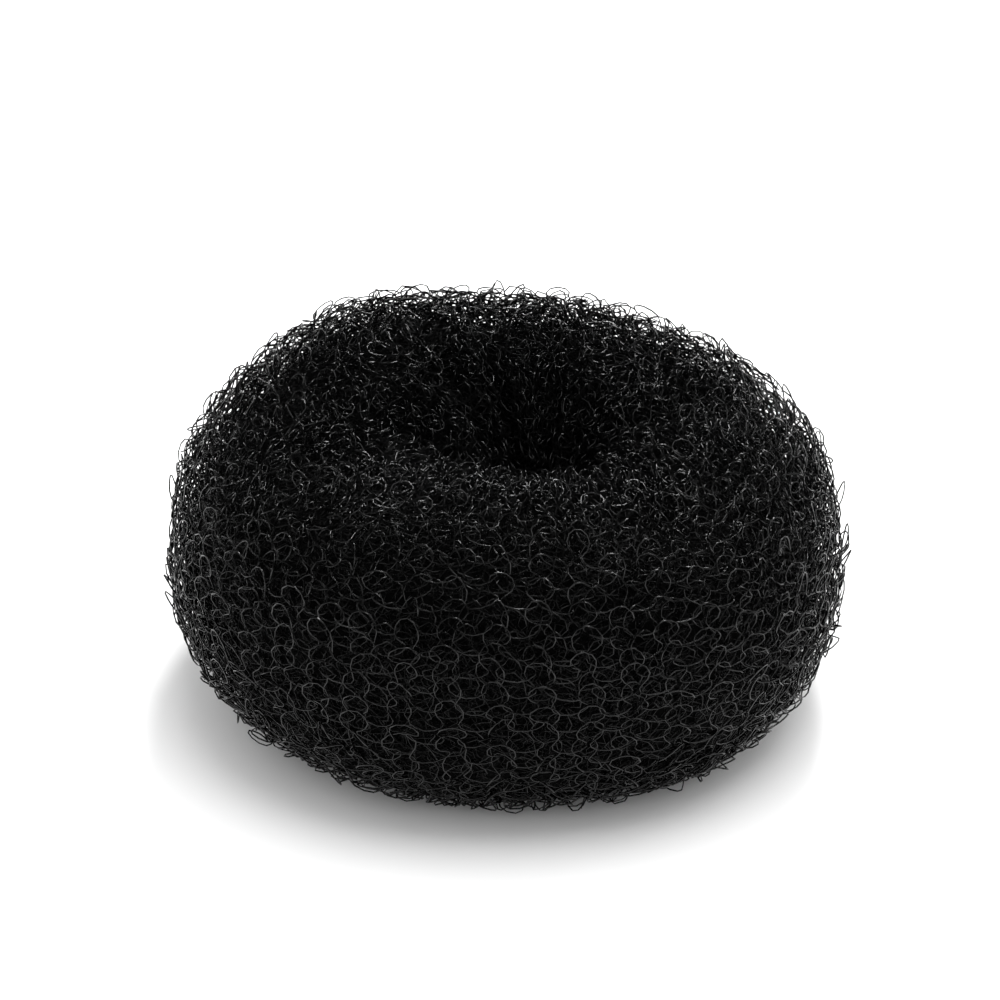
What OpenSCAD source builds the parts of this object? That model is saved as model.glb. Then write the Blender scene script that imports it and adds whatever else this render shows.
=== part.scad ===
// A hair doughnut: one knitted net sleeve, rolled up on itself into a springy ring.
// The base rests on z = 0, and the middle of the ring is over the origin.

/* [Ring] */
// Width across the ring
ring_width = 80; // [60:1:100]
// Mean height of the crest above the table
ring_height = 36.5; // [28:0.5:44]
// How full the upper half of the roll is: 2 is an ellipse, more is squarer
crest_fullness = 2.2; // [2:0.1:3]
// How full the lower half of the roll is
foot_fullness = 2.2; // [2:0.1:3]
// How much of its height the roll loses where its weight presses it flat
foot_press = 0.9; // [0.4:0.1:2]

/* [Hole] */
// Width of the hole at its throat
hole_width = 10; // [8:0.5:20]
// How far the hole lies to the right of the ring's middle
hole_right = 2.8; // [0:0.1:4]
// How far the hole lies behind the ring's middle
hole_back = 0.3; // [0:0.1:3]
// How deep the throat is pressed straight into the rounded wall
throat_depth = 0.3; // [0.2:0.05:0.6]
// Depth of the deepest fold that runs down the funnel to the throat
fold_depth = 3; // [0:0.1:3]

/* [Net] */
// Columns of stitches round the sleeve, each of which makes a rib
wale_count = 48; // [36:2:60]
// Height of a rib on the outside of the ring
rib_height = 0.6; // [0.2:0.1:1.2]

/* [Roll] */
// Thickness of one turn of the rolled net
turn_thickness = 3.6; // [3.3:0.1:5]
// Gap between one turn and the next
turn_gap = 0.4; // [0.2:0.05:0.6]
// Half the thickness of the core that the turns are wound on
core_radius = 2; // [1:0.1:3]
// Where the free edge of the sleeve is tucked under, in degrees round the roll: 270 is the bottom
tuck_turn = 280; // [275:1:285]
// Degrees round the roll over which the free edge tapers to the full thickness of a turn
tuck_taper = 48; // [36:2:60]

/* [Hidden] */
net_black = "#17171a";

// The roll isn't even. Each row is one section of it, and the rows are evenly spaced round the ring.
// Columns: reach as a share of half the ring's width, and crest as a share of the ring's height
REACH = 0;
CREST = 1;
sections = [
    [1.00, 0.94], // right
    [1.05, 0.98], // right rear
    [0.98, 1.06], // rear
    [1.05, 1.08], // left rear
    [1.00, 0.96], // left
    [1.00, 0.98], // left front
    [0.98, 1.02], // front
    [1.02, 0.94], // right front
];

// The folds of the funnel. Columns: direction in degrees, depth as a share of the deepest,
// and the degrees to either side over which the fold fades
FOLD_DIRECTION = 0;
FOLD_SHARE = 1;
FOLD_SPREAD = 2;
folds = [
    [20, 0.40, 9],
    [48, 0.55, 8],
    [70, 0.80, 7],
    [103, 1.00, 8],
    [132, 0.60, 9],
    [176, 0.45, 10],
    [223, 0.50, 9],
    [268, 0.35, 10],
    [311, 0.50, 9],
];

rib_samples = 3;
direction_count = wale_count * rib_samples;
section_count = 24;
hole_radius = hole_width / 2;
middle_height = ring_height / 2;
turn_pitch = turn_thickness + turn_gap;
thinnest_half = ((ring_width - hole_width) / 2 - norm([hole_right, hole_back])) / 2;
gap_turns = max(1, floor((thinnest_half - core_radius) / turn_pitch));
gap_direction_count = 20;
gap_step = 24;
gap_count = gap_turns * 360 / gap_step;

function section_row(i) = sections[(i + len(sections)) % len(sections)];

// A smooth curve through the four values p0 to p3, for t from 0 at p1 to 1 at p2
function smooth(p0, p1, p2, p3, t) =
    p1 + t / 2 * (p2 - p0 + t * (2 * p0 - 5 * p1 + 4 * p2 - p3 + t * (3 * (p1 - p2) + p3 - p0)));

// One column of the table in any direction
function share(column, direction) =
    let (
        step = 360 / len(sections),
        i = floor(direction / step),
        t = direction / step - i
    )
    smooth(section_row(i - 1)[column], section_row(i)[column],
           section_row(i + 1)[column], section_row(i + 2)[column], t);

// Depth of the valley between ribs: none in the throat, where the ribs close up
function valley(direction, turn) =
    rib_height * (1 - abs(cos(direction * wale_count / 2))) * (1 + cos(turn)) / 2;

// Depth of the folds, which run down the funnel from the crest, at turn 90, to the throat, at turn 180
function fold(direction, turn) =
    let (
        depths = [
            for (f = folds)
                let (aside = (direction - f[FOLD_DIRECTION] + 540) % 360 - 180)
                f[FOLD_SHARE] * exp(-pow(aside / f[FOLD_SPREAD], 2))
        ]
    )
    turn > 90 && turn < 180 ? fold_depth * max(depths) * -sin(2 * turn) : 0;

// A point in the roll, at some depth under its smooth skin.
// The turn runs round the roll: 0 is outside, 90 on the crest, 180 in the throat, 270 underneath.
function roll_point(direction, turn, depth) =
    let (
        toward = [cos(direction), sin(direction)],
        outside = share(REACH, direction) * ring_width / 2 * toward,
        throat = [hole_right, hole_back] + (hole_radius - throat_depth) * toward,
        across = outside - throat,
        half_width = norm(across) / 2 - depth,
        upper = share(CREST, direction) * ring_height - middle_height - depth,
        lower = middle_height + foot_press - depth,
        half_height = sin(turn) > 0 ? upper : lower,
        fullness = sin(turn) > 0 ? crest_fullness : foot_fullness,
        place = (outside + throat) / 2
            + across / norm(across) * half_width * sign(cos(turn)) * pow(abs(cos(turn)), 2 / fullness),
        height = middle_height
            + half_height * sign(sin(turn)) * pow(abs(sin(turn)), 2 / fullness)
    )
    [place.x, place.y, height];

// Triangles over a closed grid of points that runs round the ring, one row of points a direction
function ring_faces(rows, columns) = [
    for (i = [0 : rows - 1], j = [0 : columns - 1], half = [0, 1])
        let (
            next_row = (i + 1) % rows * columns,
            row = i * columns,
            next = (j + 1) % columns
        )
        half == 0
            ? [row + j, row + next, next_row + next]
            : [row + j, next_row + next, next_row + j]
];

// The rolled body with its ribs, before it is pressed flat
module wound_body() {
    points = [
        for (i = [0 : direction_count - 1], j = [0 : section_count - 1])
            let (direction = i * 360 / direction_count, turn = j * 360 / section_count)
            roll_point(direction, turn, valley(direction, turn) + fold(direction, turn))
    ];
    polyhedron(points, ring_faces(direction_count, section_count));
}

// Depth of the gap between the turns, once it has wound some degrees inwards from the free edge
function gap_depth(wound) =
    let (turns_in = floor(wound / 360))
    turn_pitch * (turns_in + min(1, (wound - 360 * turns_in) / tuck_taper));

// The thin gap that parts the turns of the roll, from the free edge in to the core
module turn_gap_space() {
    walls = [
        for (k = [gap_count : -1 : 0]) [k * gap_step, -turn_gap / 2],
        for (k = [0 : gap_count]) [k * gap_step, turn_gap / 2]
    ];
    points = [
        for (i = [0 : gap_direction_count - 1], wall = walls)
            roll_point(i * 360 / gap_direction_count, tuck_turn - wall[0], gap_depth(wall[0]) + wall[1])
    ];
    polyhedron(points, ring_faces(gap_direction_count, len(walls)));
}

module below_table() {
    translate([-ring_width, -ring_width, -ring_height])
        cube([2 * ring_width, 2 * ring_width, ring_height]);
}

module throat() {
    translate([hole_right, hole_back, -middle_height])
        cylinder(r = hole_radius, h = 2 * ring_height, $fn = 96);
}

module rolled_sleeve() {
    color(net_black)
    difference() {
        wound_body();
        turn_gap_space();
        below_table();
        throat();
    }
}

rolled_sleeve();
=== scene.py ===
import math

import bpy
import numpy as np
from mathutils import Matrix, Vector


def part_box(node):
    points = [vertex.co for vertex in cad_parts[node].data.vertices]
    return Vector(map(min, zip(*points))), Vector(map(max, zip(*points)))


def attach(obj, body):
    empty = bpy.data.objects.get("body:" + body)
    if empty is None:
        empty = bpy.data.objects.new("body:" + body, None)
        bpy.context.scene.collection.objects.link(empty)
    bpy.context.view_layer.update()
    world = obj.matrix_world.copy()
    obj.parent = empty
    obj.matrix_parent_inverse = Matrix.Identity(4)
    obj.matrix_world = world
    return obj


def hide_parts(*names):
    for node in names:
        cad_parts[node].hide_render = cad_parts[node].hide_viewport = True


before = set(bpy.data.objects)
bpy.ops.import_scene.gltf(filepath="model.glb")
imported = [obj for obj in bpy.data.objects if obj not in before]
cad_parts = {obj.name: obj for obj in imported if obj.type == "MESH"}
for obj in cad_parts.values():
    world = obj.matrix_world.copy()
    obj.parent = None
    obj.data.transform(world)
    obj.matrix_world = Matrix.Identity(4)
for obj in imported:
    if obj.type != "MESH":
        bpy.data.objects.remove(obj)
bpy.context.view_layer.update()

# A hair doughnut: one sleeve of springy nylon net, knitted in a single jersey and rolled up on
# itself into a ring. Lengths are in millimetres until a mesh is made.
MM = 0.001
SEED = 4726

# The ring, as its solid has it
NODE = "rolled_sleeve"
solid_low, solid_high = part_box(NODE)
RING_WIDTH = (solid_high.x - solid_low.x) / MM
CREST_PEAK = 1.0859                  # the highest crest, as a share of the mean height
RING_HEIGHT = solid_high.z / MM / CREST_PEAK
CREST_FULLNESS = 2.2
FOOT_FULLNESS = 2.2
FOOT_PRESS = 0.9
HOLE_RADIUS = 4.7
HOLE_PLACE = np.array([2.8, 0.3])
FOLD_DEPTH = 3.0
FOLD_FADES = 9.0                     # depth in the roll at which the folds have gone
TUCK_TURN = 280.0                    # where the free edge is tucked under, in degrees round the roll

# One row for each eighth of the ring, from the right: reach and crest, as shares
SECTIONS = np.array([
    (1.00, 0.94),
    (1.05, 0.98),
    (0.98, 1.06),
    (1.05, 1.08),
    (1.00, 0.96),
    (1.00, 0.98),
    (0.98, 1.02),
    (1.02, 0.94),
])
REACH, CREST = 0, 1

# The folds of the funnel: direction, share of the deepest, degrees over which it fades
FOLDS = [
    (20, 0.40, 9),
    (48, 0.55, 8),
    (70, 0.80, 7),
    (103, 1.00, 8),
    (132, 0.60, 9),
    (176, 0.45, 10),
    (223, 0.50, 9),
    (268, 0.35, 10),
    (311, 0.50, 9),
]

# The net
WALES = 48                           # columns of stitches round the sleeve
WALE_PITCH = math.pi * RING_WIDTH / WALES
COURSE_PITCH = 2.40                  # between one row of stitches and the next
STRAND_RADIUS = 0.084
STITCH_WIDTH = 1.15                  # how far a leg swings to the side
STITCH_NECK = 0.30                   # how far the feet of a head are drawn together
STITCH_RISE = 1.80                   # half the height of a stitch
STITCH_FLAT = 0.20                   # how much flatter the yarn runs between columns than in a head
STITCH_ROUND = 0.22                  # makes the head round
STITCH_DEPTH = 0.22                  # how far the legs lie under the heads
SINKER_DEPTH = 0.45                  # how far the yarn between columns lies under the net's middle
SINKER_TUCK = 1.5                    # how much further in it lies where the heads lean in
FIRST_DEPTH = 0.45                   # of the outer turn's middle under the skin of the ring
TURN_PITCH = 0.70                    # from one turn of the roll to the next
TURN_TAPER = 60.0                    # degrees over which a turn passes under the one outside it
TURN_TWIST = 0.38                    # columns by which the net twists in each turn
CORE_DEPTH = 4.2
CORE_PRESSED = 2.5                   # how much less deep the inner turns lie where the ring rests
TURNS_PRESSED = 0.5                  # the same for the turns, as a share of their depth
TABLE_CLEARANCE = 0.12
TABLE_GIVE = 1.6                     # height over which the net gives where the table presses it
TURN_COUNT = 6                       # turns that are knitted, over a core
STITCHES_SPARE = 2                   # rows that the uneven stitches go on for beyond them

# How far a column's crowding towards the hole turns its stitches: how much narrower a stitch may
# get, seen flat, and how much the uneven turns to the side and in the plane of the net grow
NARROWEST = 0.35
CROWDED_SWING = 1.5
CROWDED_CANT = 3.0

# How far the slow waves carry the stitches: to the side, along the sleeve and out of it
WANDER_ASIDE = 0.40
WANDER_ALONG = 0.45
WANDER_OUT = 0.15

# The core: how far it wanders, and the height of its ribs
CORE_WANDER = 0.35
CORE_RIB = 0.25

# How far the heads of the stitches lean out: degrees round the roll, and degrees of lean
HEAD_LEAN = np.array([
    (-180, 0),
    (-90, 0),
    (-65, -10),
    (-45, -28),
    (-25, -25),
    (0, -14),
    (90, 10),
    (180, 0),
])


def section_share(column, direction):
    """One column of the section table in any direction, in degrees."""
    step = 360 / len(SECTIONS)
    i = np.floor(direction / step).astype(int)
    t = direction / step - i
    p0, p1, p2, p3 = (SECTIONS[(i + k) % len(SECTIONS), column] for k in (-1, 0, 1, 2))
    return p1 + t / 2 * (p2 - p0 + t * (2 * p0 - 5 * p1 + 4 * p2 - p3 + t * (3 * (p1 - p2) + p3 - p0)))


def fold(direction, turn):
    """Depth of the folds, which run from the crest down to the throat."""
    deepest = np.zeros_like(direction)
    for at, share, spread in FOLDS:
        apart = (direction - at + 180) % 360 - 180
        deepest = np.maximum(deepest, share * np.exp(-(apart / spread) ** 2))
    turn = turn % 360
    in_funnel = (turn > 90) & (turn < 180)
    return np.where(in_funnel, -np.sin(np.radians(2 * turn)), 0) * FOLD_DEPTH * deepest


def roll_point(direction, turn, depth):
    """A point at some depth in the roll. The turn is 0 outside, 90 on the crest and 180 in the hole."""
    depth = depth + fold(direction, turn) * np.clip(1 - depth / FOLD_FADES, 0, 1)
    around = np.radians(direction)
    toward = np.stack([np.cos(around), np.sin(around)], -1)
    outside = section_share(REACH, direction)[..., None] * RING_WIDTH / 2 * toward
    throat = HOLE_PLACE + HOLE_RADIUS * toward
    across = outside - throat
    width = np.linalg.norm(across, axis=-1)
    middle = RING_HEIGHT / 2
    c, s = np.cos(np.radians(turn)), np.sin(np.radians(turn))
    top = section_share(CREST, direction) * RING_HEIGHT - middle
    half_height = np.where(s > 0, top, middle + FOOT_PRESS) - depth
    power = 2 / np.where(s > 0, CREST_FULLNESS, FOOT_FULLNESS)
    reach = (width / 2 - depth) * np.sign(c) * np.abs(c) ** power
    place = (outside + throat) / 2 + across * (reach / width)[..., None]
    height = middle + half_height * np.sign(s) * np.abs(s) ** power
    return np.concatenate([place, height[..., None]], -1)


def over_table(points):
    """Presses what would lie under the table flat on it."""
    z = points[..., 2] - TABLE_CLEARANCE
    squeezed = TABLE_GIVE * np.exp(np.minimum(z / TABLE_GIVE - 1, 0))
    points[..., 2] = TABLE_CLEARANCE + np.where(z > TABLE_GIVE, z, squeezed)
    return points


def turn_depth(wound):
    """Depth of the sleeve, once it has wound some degrees inwards from its free edge."""
    turns_in = np.floor(wound / 360)
    part = np.clip((wound - 360 * turns_in - 360 + TURN_TAPER) / TURN_TAPER, 0, 1)
    return FIRST_DEPTH + TURN_PITCH * (turns_in + part * part * (3 - 2 * part))


def pressed(depth, turn):
    """Depth of a turn where the ring rests on it: the turns lie closer there."""
    share = TURNS_PRESSED * np.maximum(-np.sin(np.radians(turn)), 0)
    return FIRST_DEPTH + (depth - FIRST_DEPTH) * (1 - share)


# How far the sleeve has wound after some length of it, measured on the front section in steps of
# 2 degrees, for half a turn more than is knitted
FRONT = 270.0
wound_steps = np.arange(0, 360 * (TURN_COUNT + 0.5), 2.0)
front_section = np.full_like(wound_steps, FRONT)
wound_path = roll_point(front_section, TUCK_TURN - wound_steps, turn_depth(wound_steps))
step_lengths = np.linalg.norm(np.diff(wound_path, axis=0), axis=1)
sleeve_steps = np.concatenate([[0], np.cumsum(step_lengths)])


def wound_after(length):
    """Degrees that the sleeve has wound after some length of it."""
    return np.interp(length, sleeve_steps, wound_steps)


def courses_after(turns):
    """Rows of stitches in so many turns of the roll."""
    return int(np.interp(360 * turns, wound_steps, sleeve_steps) / COURSE_PITCH)


# ---- how uneven the hand-rolled net is
rng = np.random.default_rng(SEED)
ALL_STITCHES = (courses_after(TURN_COUNT) + STITCHES_SPARE) * WALES


def per_stitch(spread):
    """One random value for each stitch, with one to spare at either end."""
    return rng.normal(0, spread, ALL_STITCHES + 2)


swing = per_stitch(18)               # degrees that a stitch turns edgeways
lean = per_stitch(12)                # further degrees that its head leans out
cant = per_stitch(13)                # degrees that it is canted in the plane of the net
wide = 1 + per_stitch(0.13)
tall = 1 + per_stitch(0.10)
aside = per_stitch(0.18)             # out of its place to the side
along = per_stitch(0.20)             # and along the sleeve
# out of the net: a few stitches, 8 in 100, spring well out of it
proud = per_stitch(0.13) + 0.3 * (rng.random(ALL_STITCHES + 2) < 0.08)
edgeways = np.sign(rng.random(ALL_STITCHES + 2) - 0.5)

WAVES = 14
wave_round = rng.integers(1, 10, (3, WAVES))
wave_wound = rng.integers(-7, 8, (3, WAVES))
wave_start = rng.uniform(0, 2 * math.pi, (3, WAVES))


def wander(kind, direction, wound):
    """A slow wave over the whole sleeve, about 1 high."""
    a = np.radians(direction)[..., None] * wave_round[kind]
    b = np.radians(wound)[..., None] * wave_wound[kind]
    return np.sin(a + b + wave_start[kind]).sum(-1) / math.sqrt(WAVES / 2)


def knit(first, last, samples):
    """The path of the yarn through some stitches, and the normal of the roll along it."""
    t = np.arange(first * samples, last * samples + 1) / samples
    q = np.minimum(np.floor(t).astype(int), last - 1)
    phase = 2 * math.pi * (t - q)
    near = q + 1
    other = near + np.where(phase < math.pi, -1, 1)
    blend = 0.5 * ((1 + np.cos(phase)) / 2) ** 2

    def at(values):
        return values[near] * (1 - blend) + values[other] * blend

    length = t / WALES * COURSE_PITCH
    wound = wound_after(length)
    direction = (t + TURN_TWIST * wound / 360) * 360 / WALES
    turn = TUCK_TURN - wound
    depth = pressed(turn_depth(wound), turn)
    beside = roll_point(direction + 1, turn, depth) - roll_point(direction - 1, turn, depth)
    reach = np.linalg.norm(beside, axis=1) / math.radians(2)
    crowded = np.clip(2 * math.pi * reach / WALES / WALE_PITCH, 0, 1)

    # The stitch, flat: across the wale, along it, and out of the net
    x = (STITCH_WIDTH * np.sin(2 * phase) + STITCH_NECK * np.sin(phase)) * at(wide)
    y = STITCH_RISE * np.cos(phase) - STITCH_FLAT * np.cos(2 * phase) + STITCH_ROUND * np.cos(3 * phase)
    y *= at(tall)
    w = STITCH_DEPTH * np.cos(2 * phase) - SINKER_DEPTH * np.cos(phase)
    # turned edgeways, more so where the columns crowd towards the hole
    b = np.radians(at(swing)) * (1 + CROWDED_SWING * (1 - crowded))
    b += at(edgeways) * np.arccos(NARROWEST + (1 - NARROWEST) * crowded)
    x, w = x * np.cos(b) - w * np.sin(b), x * np.sin(b) + w * np.cos(b)
    # leant in or out, with the yarn between columns tucked in where the heads lean in
    leaning = np.interp((turn + 180) % 360 - 180, HEAD_LEAN[:, 0], HEAD_LEAN[:, 1])
    b = np.radians(at(lean) + leaning)
    y, w = y * np.cos(b) + w * np.sin(b), -y * np.sin(b) + w * np.cos(b)
    between_columns = ((1 + np.cos(phase)) / 2) ** 2.5
    w -= SINKER_TUCK * np.sin(np.radians(np.maximum(-leaning, 0))) * between_columns
    # canted in the plane of the net
    b = np.radians(at(cant)) * (1 + CROWDED_CANT * (1 - crowded))
    x, y = x * np.cos(b) - y * np.sin(b), x * np.sin(b) + y * np.cos(b)

    x += at(aside) * crowded + WANDER_ASIDE * crowded * wander(0, direction, wound)
    y += at(along) + WANDER_ALONG * wander(1, direction, wound)
    w += at(proud) + WANDER_OUT * wander(2, direction, wound)

    around = direction + np.degrees(x / reach)
    wound = wound_after(length + y)
    turn = TUCK_TURN - wound
    depth = pressed(turn_depth(wound), turn) - w
    path = over_table(roll_point(around, turn, depth))
    ahead = roll_point(around, turn + 1.5, depth) - roll_point(around, turn - 1.5, depth)
    across = roll_point(around + 1, turn, depth) - roll_point(around - 1, turn, depth)
    normal = np.cross(across, ahead)
    return path, normal / np.linalg.norm(normal, axis=1, keepdims=True)


def unit(v):
    """The same directions, each of length 1."""
    return v / np.maximum(np.linalg.norm(v, axis=-1, keepdims=True), 1e-9)


def strand(name, first, last, samples, sides):
    """A closed tube along the yarn of stitches first to last."""
    path, normal = knit(first, last, samples)
    tangent = unit(np.gradient(path, axis=0))
    count = last - first
    # The frame starts afresh at each stitch and is carried along it, and what it has turned too
    # far by the next stitch is spread over the whole stitch.
    side = np.zeros_like(path)
    start = np.arange(count + 1) * samples
    fresh = unit(np.cross(tangent[start], normal[start]))
    carried = fresh[:-1]
    side[start[:-1]] = carried
    for k in range(1, samples + 1):
        here = tangent[start[:-1] + k]
        carried = unit(carried - here * (carried * here).sum(1, keepdims=True))
        if k < samples:
            side[start[:-1] + k] = carried
    side[-1] = fresh[-1]
    up = np.cross(tangent[start[1:]], fresh[1:])
    excess = np.arctan2((carried * up).sum(1), (carried * fresh[1:]).sum(1))
    twist = np.zeros(len(path))
    twist[:-1] = np.repeat(excess, samples) * np.tile(np.arange(samples) / samples, count)
    up = np.cross(tangent, side)
    corner = np.arange(sides) * 2 * math.pi / sides
    angle = corner[None, :] - twist[:, None]
    ring = side[:, None] * np.cos(angle)[..., None] + up[:, None] * np.sin(angle)[..., None]
    # as broad all round, on average, as a round strand
    corner_radius = STRAND_RADIUS * math.pi / (sides * math.sin(math.pi / sides))
    points = (path[:, None] + corner_radius * ring) * MM

    rings = len(path)
    i, j = np.meshgrid(np.arange(rings - 1), np.arange(sides), indexing="ij")
    k = (j + 1) % sides
    quads = np.stack([i * sides + j, i * sides + k, (i + 1) * sides + k, (i + 1) * sides + j], -1)
    faces = quads.reshape(-1, 4).tolist()
    faces.append(list(range(sides))[::-1])
    faces.append([(rings - 1) * sides + k for k in range(sides)])
    mesh = bpy.data.meshes.new(name)
    mesh.from_pydata(points.reshape(-1, 3).tolist(), [], faces)
    mesh.polygons.foreach_set("use_smooth", [True] * len(mesh.polygons))
    mesh.update()
    piece = bpy.data.objects.new(name, mesh)
    bpy.context.scene.collection.objects.link(piece)
    return piece


# ---- materials
def colour(hex_code):
    """An sRGB hex value as a linear colour."""
    parts = [int(hex_code[i:i + 2], 16) / 255 for i in (1, 3, 5)]
    return tuple(p / 12.92 if p <= 0.04045 else ((p + 0.055) / 1.055) ** 2.4 for p in parts) + (1.0,)


def add(tree, kind, settings=(), links=()):
    """A node with its settings, and its inputs' links."""
    node = tree.nodes.new(kind)
    for key, value in dict(settings).items():
        if isinstance(key, str) and hasattr(node, key):
            setattr(node, key, value)
        else:
            node.inputs[key].default_value = value
    for key, source in dict(links).items():
        tree.links.new(source, node.inputs[key])
    return node


def nylon_monofilament(name, shine):
    """Black nylon, drawn to a smooth strand: nearly black, with small sharp glints.

    The tone and the gloss vary in patches about 6 mm wide, and the surface has a faint grain of
    0.1 mm from the drawing.
    """
    material = bpy.data.materials.new(name)
    material.use_nodes = True
    tree = material.node_tree
    tree.nodes.clear()
    place = add(tree, "ShaderNodeTexCoord").outputs["Object"]
    patches = add(tree, "ShaderNodeTexNoise", {"Scale": 160.0, "Detail": 2.0}, {"Vector": place})
    tone = add(tree, "ShaderNodeValToRGB", {}, {"Fac": patches.outputs["Fac"]})
    tone.color_ramp.elements[0].position = 0.35
    tone.color_ramp.elements[0].color = colour("#050505")
    tone.color_ramp.elements[1].position = 0.7
    tone.color_ramp.elements[1].color = colour("#0e0e0e")
    gloss = add(tree, "ShaderNodeMapRange", {"To Min": 0.12, "To Max": 0.24},
                {"Value": patches.outputs["Fac"]})
    drawn = add(tree, "ShaderNodeTexNoise", {"Scale": 9000.0, "Detail": 1.0}, {"Vector": place})
    fine = add(tree, "ShaderNodeBump", {"Strength": 0.15, "Distance": 0.02 * MM},
               {"Height": drawn.outputs["Fac"]})
    # the gloss level is the shine given, lower in the copies for deeper turns as painted shade
    shader = add(tree, "ShaderNodeBsdfPrincipled", {"IOR": 1.53, "Specular IOR Level": shine}, {
        "Base Color": tone.outputs["Color"],
        "Roughness": gloss.outputs["Result"],
        "Normal": fine.outputs["Normal"],
    })
    add(tree, "ShaderNodeOutputMaterial", {}, {"Surface": shader.outputs["BSDF"]})
    return material


def packed_nylon_net():
    """Turns of the same net pressed together: crossing strands with a faint gloss over black gaps; the
    gaps, darker than the nylon, and the faint gloss are painted shade of the depth.

    The strands cross in cells of 2.8 and 1.9 mm, like two layers of stitches, and are bent by up
    to 0.8 mm.
    """
    material = bpy.data.materials.new("nylon_net_packed")
    material.use_nodes = True
    tree = material.node_tree
    tree.nodes.clear()
    place = add(tree, "ShaderNodeTexCoord").outputs["Object"]
    warp = add(tree, "ShaderNodeTexNoise", {"Scale": 500.0, "Detail": 1.0}, {"Vector": place})
    bent = add(tree, "ShaderNodeVectorMath", {"operation": "MULTIPLY_ADD", 1: (0.0016, 0.0016, 0.0016)},
               {0: warp.outputs["Color"], 2: place})
    lines = []
    for scale in (360.0, 520.0):
        cells = add(tree, "ShaderNodeTexVoronoi", {"feature": "DISTANCE_TO_EDGE", "Scale": scale},
                    {"Vector": bent.outputs["Vector"]})
        line = add(tree, "ShaderNodeMapRange", {"From Max": 0.07, "To Min": 1.0, "To Max": 0.0},
                   {"Value": cells.outputs["Distance"]})
        lines.append(line.outputs["Result"])
    strands = add(tree, "ShaderNodeMath", {"operation": "MAXIMUM"}, {0: lines[0], 1: lines[1]})
    tone = add(tree, "ShaderNodeValToRGB", {}, {"Fac": strands.outputs["Value"]})
    # the near-black of the gaps is painted shade; the strands keep the nylon's own black
    tone.color_ramp.elements[0].color = colour("#020202")
    tone.color_ramp.elements[1].color = colour("#0b0b0c")
    gloss = add(tree, "ShaderNodeMapRange", {"To Min": 0.95, "To Max": 0.40},
                {"Value": strands.outputs["Value"]})
    relief = add(tree, "ShaderNodeBump", {"Strength": 0.8, "Distance": 0.6 * MM},
                 {"Height": strands.outputs["Value"]})
    # the gloss level is cut low here as painted shade of the depth
    shader = add(tree, "ShaderNodeBsdfPrincipled", {"IOR": 1.53, "Specular IOR Level": 0.08}, {
        "Base Color": tone.outputs["Color"],
        "Roughness": gloss.outputs["Result"],
        "Normal": relief.outputs["Normal"],
    })
    add(tree, "ShaderNodeOutputMaterial", {}, {"Surface": shader.outputs["BSDF"]})
    return material


# The same nylon in three copies, its gloss cut for the deeper turns as painted shade: the real roll has
# more turns than are knitted here, so its inner ones get less light
nylon_outside = nylon_monofilament("nylon_monofilament_outer_turn", 0.33)
nylon_shaded = nylon_monofilament("nylon_monofilament_painted_shade", 0.21)
nylon_deep_shaded = nylon_monofilament("nylon_monofilament_painted_deep_shade", 0.15)
packed = packed_nylon_net()


def finish_piece(piece, material):
    """Gives a piece its material, and its place in the frame."""
    piece.data.materials.append(material)
    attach(piece, "root")
    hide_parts(NODE)


# ---- the net, turn by turn
bpy.ops.object.select_all(action="DESELECT")
# Each part of the yarn: its first and last turn, points along a stitch, sides of the strand
# the inner half of each of the outer two turns, under the ring and in the hole, takes a duller copy of
# the nylon: painted shade
TURNS = [
    ("outer_turn_under", 0.0, 0.5, 17, 4, nylon_shaded),
    ("outer_turn_over", 0.5, 1.0, 17, 4, nylon_outside),
    ("second_turn_under", 1.0, 1.5, 12, 4, nylon_deep_shaded),
    ("second_turn_over", 1.5, 2.0, 12, 4, nylon_shaded),
    ("third_turn", 2.0, 3.0, 12, 3, nylon_deep_shaded),
    ("fourth_turn", 3.0, 4.0, 10, 3, nylon_deep_shaded),
    ("fifth_turn", 4.0, 5.0, 8, 3, nylon_deep_shaded),
    ("sixth_turn", 5.0, 6.0, 8, 3, nylon_deep_shaded),
]
for name, start, end, samples, sides, nylon in TURNS:
    piece = strand(name, courses_after(start) * WALES, courses_after(end) * WALES, samples, sides)
    finish_piece(piece, nylon)

# ---- the tight inner turns, too deep to tell apart
bpy.ops.mesh.primitive_torus_add(
    major_segments=144, minor_segments=48, major_radius=1.0, minor_radius=0.4)
core = bpy.context.object
core.name = "inner_turns"
corners = np.empty(len(core.data.vertices) * 3)
core.data.vertices.foreach_get("co", corners)
corners = corners.reshape(-1, 3)
around = np.degrees(np.arctan2(corners[:, 1], corners[:, 0]))
turn = np.degrees(np.arctan2(corners[:, 2], np.hypot(corners[:, 0], corners[:, 1]) - 1.0))
uneven = CORE_WANDER * wander(0, around, turn) + CORE_RIB * np.sin(np.radians(around) * WALES)
core_depth = CORE_DEPTH - CORE_PRESSED * np.maximum(-np.sin(np.radians(turn)), 0)
corners = over_table(roll_point(around, turn, core_depth + uneven)) * MM
core.data.vertices.foreach_set("co", corners.ravel())
core.data.update()
bpy.ops.object.shade_smooth()
finish_piece(core, packed)

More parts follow.
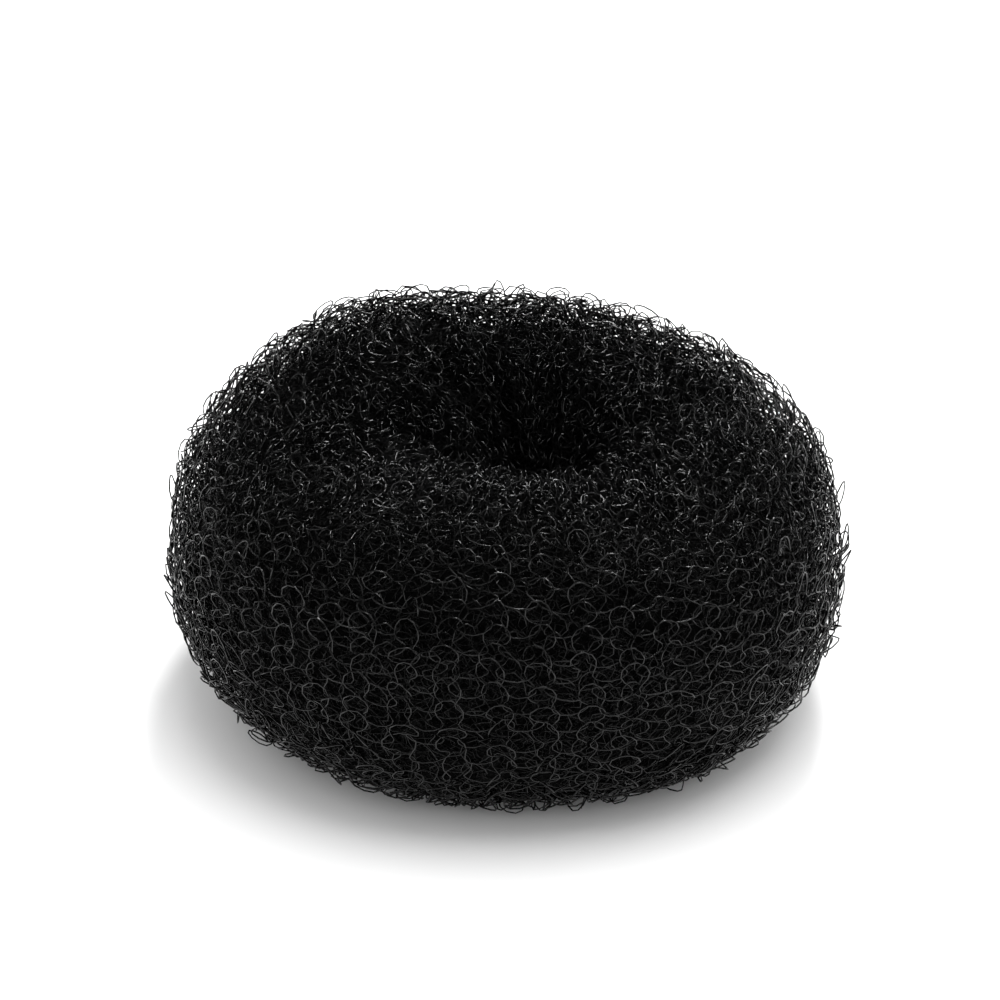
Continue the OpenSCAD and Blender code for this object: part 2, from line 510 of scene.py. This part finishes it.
# ---- the camera, the floor and the light
scene = bpy.context.scene
FRAME_PIXELS = 1000
SENSOR = 36.0
FOCAL = 3754.0                       # in pixels of the frame
DISTANCE = 440.5
ELEVATION = math.radians(29.64)
RING_AT = (5.0, -45.9)               # pixels from the frame's middle to the ring's middle
centre = Vector((0, 0, 18.1))
forward = Vector((0, math.cos(ELEVATION), -math.sin(ELEVATION)))
right = Vector((1, 0, 0))
up = right.cross(forward)
aim = (forward * FOCAL - right * RING_AT[0] - up * RING_AT[1]).normalized()
camera = bpy.data.objects.new("camera", bpy.data.cameras.new("camera"))
camera.location = (centre - forward * DISTANCE) * MM
camera.rotation_mode = "QUATERNION"
camera.rotation_quaternion = aim.to_track_quat("-Z", "Y")
camera.data.sensor_width = SENSOR
camera.data.lens = SENSOR * FOCAL / FRAME_PIXELS
camera.data.clip_start = 0.01
camera.data.clip_end = 20.0
scene.collection.objects.link(camera)
scene.camera = camera

bpy.ops.mesh.primitive_plane_add(size=6.0)
floor = bpy.context.object
floor.name = "floor"
# matt white board, which the light washes out around the shadow
white = bpy.data.materials.new("white_table")
white.use_nodes = True
board = white.node_tree.nodes["Principled BSDF"]
board.inputs["Base Color"].default_value = (0.9, 0.9, 0.9, 1)
board.inputs["Roughness"].default_value = 0.9
floor.data.materials.append(white)

world = bpy.data.worlds.new("studio")
scene.world = world
world.use_nodes = True
room = world.node_tree.nodes["Background"]
room.inputs["Color"].default_value = (1, 1, 1, 1)
room.inputs["Strength"].default_value = 1.10
# It fills the shadow on the table, and the strands mirror only the lamps and the table
world.cycles_visibility.glossy = False


def soft_light(name, place, size, power):
    """A round studio lamp that faces the ring, with its place and size in metres."""
    lamp = bpy.data.objects.new(name, bpy.data.lights.new(name, "AREA"))
    lamp.data.shape = "DISK"
    lamp.data.size = size
    lamp.data.energy = power
    lamp.location = place
    lamp.rotation_mode = "QUATERNION"
    lamp.rotation_quaternion = (centre * MM - Vector(place)).to_track_quat("-Z", "Y")
    scene.collection.objects.link(lamp)


soft_light("softbox", (0.18, -0.05, 0.97), 0.8, 5.8)
soft_light("back_light", (0.12, 0.60, 0.75), 0.26, 8.5)

scene.view_settings.view_transform = "Standard"
